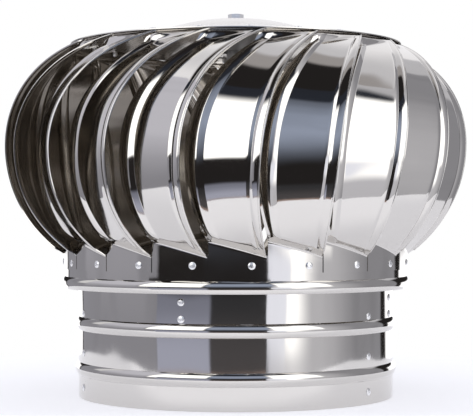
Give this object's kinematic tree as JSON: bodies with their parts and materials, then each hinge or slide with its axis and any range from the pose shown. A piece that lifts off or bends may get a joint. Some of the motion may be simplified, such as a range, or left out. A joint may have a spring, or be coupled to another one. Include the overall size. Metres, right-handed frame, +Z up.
{
  "type": "turbine roof vent",
  "caption": "Turbine roof vent: a beaded round neck carries a turning head of curved overlapping blades between a ring and a domed crown, spun by wind to draw air out.",
  "frame": {"origin": "centre of the neck's lower rim, on the axis of turning", "axes": "+Z up along the axis of turning; the pictured side faces -Y with +X to its right"},
  "size_m": [0.438, 0.438, 0.3644],
  "materials": {
    "sheet": "mirror-polished stainless sheet",
    "rivet": "bright",
    "fitting": "plain machined",
    "bearing_steel": "ground"
  },
  "bodies": {
    "neck": {"neck_tube": "sheet", "neck_seam_rivets": "rivet", "neck_bracket": "fitting", "neck_bracket_rivets": "rivet", "shaft": "fitting", "shaft_lower_washer": "fitting", "shaft_lower_nut": "fitting", "shaft_upper_washer": "fitting", "shaft_upper_nut": "fitting", "thrust_collar": "fitting", "collar_screw": "fitting", "spacer_sleeve": "fitting", "shaft_clip": "fitting", "lower_bearing_inner_race": "bearing_steel", "upper_bearing_inner_race": "bearing_steel"},
    "head": {"head_ring": "sheet", "head_bracket": "fitting", "blade_rivets": "rivet", "head_arm_rivets": "rivet", "crown": "sheet", "crown_rivets": "rivet", "bearing_cup": "fitting", "cup_clip": "fitting", "crown_washer": "fitting", "crown_nut": "fitting", "lower_bearing_outer_race": "bearing_steel", "lower_bearing_balls": "bearing_steel", "upper_bearing_outer_race": "bearing_steel", "upper_bearing_balls": "bearing_steel", "blade_01": "sheet", "blade_02": "sheet", "blade_03": "sheet", "blade_04": "sheet", "blade_05": "sheet", "blade_06": "sheet", "blade_07": "sheet", "blade_08": "sheet", "blade_09": "sheet", "blade_10": "sheet", "blade_11": "sheet", "blade_12": "sheet", "blade_13": "sheet", "blade_14": "sheet", "blade_15": "sheet", "blade_16": "sheet", "blade_17": "sheet", "blade_18": "sheet", "blade_19": "sheet", "blade_20": "sheet"}
  },
  "joints": [
    {"name": "head_spin", "type": "hinge", "parent": "neck", "child": "head", "pos_m": [0, 0, 0.126], "axis": [0, 0, 1], "continuous": true}
  ]
}
